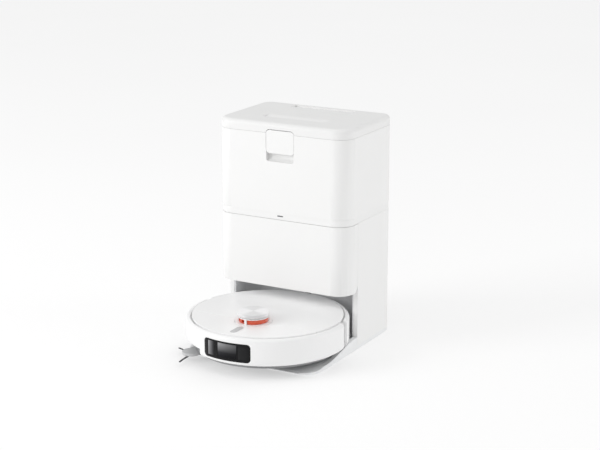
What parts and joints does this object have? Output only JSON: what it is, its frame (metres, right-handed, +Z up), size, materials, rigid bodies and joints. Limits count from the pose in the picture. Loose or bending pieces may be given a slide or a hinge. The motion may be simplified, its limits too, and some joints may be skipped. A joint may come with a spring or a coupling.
{
  "type": "robot vacuum with station",
  "caption": "Round robot vacuum with mop discs and a laser turret, parked in a tall white station that charges, empties and washes it.",
  "frame": {"origin": "middle of the sole of the station's centre rubber foot, on the floor", "axes": "+Z up; the parked robot faces -Y and the station's back is at +Y; +X is to the right seen from the front"},
  "size_m": [0.35, 0.4492, 0.492],
  "materials": {
    "station_white": "fine satin",
    "lid_white": "fine satin",
    "tray_grey": "satin",
    "liner_grey": "satin",
    "band_grey": "satin",
    "lens_white": "diffusing",
    "robot_white": "semi gloss",
    "window_black": "polished",
    "turret_red": "translucent, polished",
    "key_silver": "satin silver",
    "black_plastic": "fine texture",
    "dark_plastic": "fine texture",
    "chassis_grey": "fine texture",
    "brush_grey": "satin",
    "clear_tank": "clear, polished",
    "smoke_tank": "smoked, polished",
    "cap_blue": "satin",
    "rubber": "matt",
    "tyre": "matt",
    "steel": "zinc plated",
    "contact": "plated",
    "bag_paper": "non-woven",
    "board": "pressed card",
    "circuit": "solder mask",
    "cells": "shrink sleeve",
    "mop_cloth": "microfibre pile",
    "alloy": "satin"
  },
  "bodies": {
    "station": {"base_tray": "tray_grey", "wash_board": "liner_grey", "rubber_feet": "rubber", "lower_housing": "station_white", "bay_liner": "liner_grey", "mid_band": "band_grey", "status_lens": "lens_white", "upper_housing": "station_white", "clean_tank": "clear_tank", "dirty_tank": "smoke_tank", "tank_caps": "cap_blue", "hinge_pins": "steel", "dust_bag": "bag_paper", "bag_frame": "board", "dust_duct": "black_plastic", "suction_motor": "dark_plastic", "water_pumps": "dark_plastic", "power_supply": "circuit", "power_inlet": "black_plastic", "rear_cover": "station_white", "station_screws": "steel"},
    "dust_door": {"dust_door": "station_white"},
    "lid": {"lid": "lid_white", "lid_seal": "rubber"},
    "latch": {"lid_latch": "station_white"},
    "station_fan": {"station_impeller": "alloy"},
    "contacts": {"charge_contacts": "contact"},
    "robot": {"robot_chassis": "chassis_grey", "rear_shell": "robot_white", "top_plate": "robot_white", "lidar_base": "robot_white", "dust_bin": "smoke_tank", "fan_housing": "dark_plastic", "battery": "cells", "main_board": "circuit", "roller_guard": "dark_plastic", "mop_gearbox": "dark_plastic", "robot_contacts": "contact", "robot_screws": "steel"},
    "robot_cover": {"robot_cover": "robot_white"},
    "bumper": {"bumper": "robot_white", "sensor_window": "window_black"},
    "turret": {"lidar_rotor": "turret_red"},
    "turret_cap": {"lidar_cap": "robot_white"},
    "power_key": {"power_key": "key_silver"},
    "home_key": {"home_key": "key_silver"},
    "robot_fan": {"robot_impeller": "alloy"},
    "roller": {"main_roller": "rubber"},
    "arm_left": {"wheel_arm_left": "black_plastic"},
    "arm_right": {"wheel_arm_right": "black_plastic"},
    "wheel_left": {"wheel_left": "tyre"},
    "wheel_right": {"wheel_right": "tyre"},
    "caster": {"caster_fork": "dark_plastic"},
    "caster_wheel": {"caster_wheel": "brush_grey"},
    "brush_arm": {"side_arm": "brush_grey"},
    "brush": {"side_brush": "dark_plastic"},
    "mop_left": {"mop_left": "dark_plastic", "pad_left": "mop_cloth"},
    "mop_right": {"mop_right": "dark_plastic", "pad_right": "mop_cloth"}
  },
  "joints": [
    {"name": "lid_hinge", "type": "hinge", "parent": "station", "child": "lid", "pos_m": [0, 0.213, 0.478], "axis": [-1, 0, 0], "range_deg": [0, 80]},
    {"name": "latch_pivot", "type": "hinge", "parent": "lid", "child": "latch", "pos_m": [0, 0.0062, 0.474], "axis": [-1, 0, 0], "range_deg": [0, 10], "stiffness_Nm_per_rad": 0.05, "springref_deg": -2.86},
    {"name": "door_pull", "type": "slide", "parent": "station", "child": "dust_door", "axis": [0, -1, 0], "range_m": [0, 0.12]},
    {"name": "station_fan_spin", "type": "hinge", "parent": "station", "child": "station_fan", "pos_m": [0.095, 0.168, 0.19], "axis": [0, 0, 1], "continuous": true},
    {"name": "contact_press", "type": "slide", "parent": "station", "child": "contacts", "axis": [0, 1, 0], "range_m": [0, 0.002], "stiffness_N_per_m": 500, "springref_m": -0.001},
    {"name": "drive_out", "type": "slide", "parent": "station", "child": "robot", "axis": [0, -1, 0], "range_m": [0, 0.3]},
    {"name": "bumper_press", "type": "slide", "parent": "robot", "child": "bumper", "axis": [0, 1, 0], "range_m": [0, 0.0025], "stiffness_N_per_m": 500, "springref_m": -0.002},
    {"name": "turret_spin", "type": "hinge", "parent": "robot", "child": "turret", "pos_m": [0, -0.114, 0.0895], "axis": [0, 0, 1], "continuous": true},
    {"name": "turret_cap_press", "type": "slide", "parent": "robot", "child": "turret_cap", "axis": [0, 0, -1], "range_m": [0, 0.0008], "stiffness_N_per_m": 1500, "springref_m": -0.0008},
    {"name": "power_key_press", "type": "slide", "parent": "robot", "child": "power_key", "axis": [0, 0, -1], "range_m": [0, 0.0008], "stiffness_N_per_m": 800, "springref_m": -0.0004},
    {"name": "home_key_press", "type": "slide", "parent": "robot", "child": "home_key", "axis": [0, 0, -1], "range_m": [0, 0.0008], "stiffness_N_per_m": 800, "springref_m": -0.0004},
    {"name": "cover_lift", "type": "slide", "parent": "robot", "child": "robot_cover", "axis": [0, 0, 1], "range_m": [0, 0.03]},
    {"name": "robot_fan_spin", "type": "hinge", "parent": "robot", "child": "robot_fan", "pos_m": [-0.092, 0.026, 0.0495], "axis": [0, 0, 1], "continuous": true},
    {"name": "roller_spin", "type": "hinge", "parent": "robot", "child": "roller", "pos_m": [0, -0.062, 0.0301], "axis": [1, 0, 0], "continuous": true},
    {"name": "suspension_left", "type": "hinge", "parent": "robot", "child": "arm_left", "pos_m": [0.101, -0.018, 0.0495], "axis": [-1, 0, 0], "range_deg": [0, 7], "stiffness_Nm_per_rad": 1.2, "springref_deg": -8.59},
    {"name": "suspension_right", "type": "hinge", "parent": "robot", "child": "arm_right", "pos_m": [-0.101, -0.018, 0.0495], "axis": [-1, 0, 0], "range_deg": [0, 7], "stiffness_Nm_per_rad": 1.2, "springref_deg": -8.59},
    {"name": "wheel_left_spin", "type": "hinge", "parent": "arm_left", "child": "wheel_left", "pos_m": [0.115, -0.054, 0.0408], "axis": [1, 0, 0], "continuous": true},
    {"name": "wheel_right_spin", "type": "hinge", "parent": "arm_right", "child": "wheel_right", "pos_m": [-0.115, -0.054, 0.0408], "axis": [1, 0, 0], "continuous": true},
    {"name": "caster_swivel", "type": "hinge", "parent": "robot", "child": "caster", "pos_m": [0, -0.116, 0.0395], "axis": [0, 0, 1], "continuous": true},
    {"name": "caster_roll", "type": "hinge", "parent": "caster", "child": "caster_wheel", "pos_m": [0, -0.122, 0.0203], "axis": [1, 0, 0], "continuous": true},
    {"name": "brush_arm_swing", "type": "hinge", "parent": "robot", "child": "brush_arm", "pos_m": [-0.118, -0.112, 0.0195], "axis": [0, 0, 1], "range_deg": [0, 40]},
    {"name": "brush_spin", "type": "hinge", "parent": "brush_arm", "child": "brush", "pos_m": [-0.12, -0.172, 0.0155], "axis": [0, 0, 1], "continuous": true},
    {"name": "mop_left_spin", "type": "hinge", "parent": "robot", "child": "mop_left", "pos_m": [0.068, 0.034, 0.0195], "axis": [0, 0, 1], "continuous": true},
    {"name": "mop_right_spin", "type": "hinge", "parent": "robot", "child": "mop_right", "pos_m": [-0.068, 0.034, 0.0195], "axis": [0, 0, 1], "continuous": true}
  ],
  "couplings": [
    {"joint": "mop_right_spin", "follows": "mop_left_spin", "ratio": -1}
  ]
}
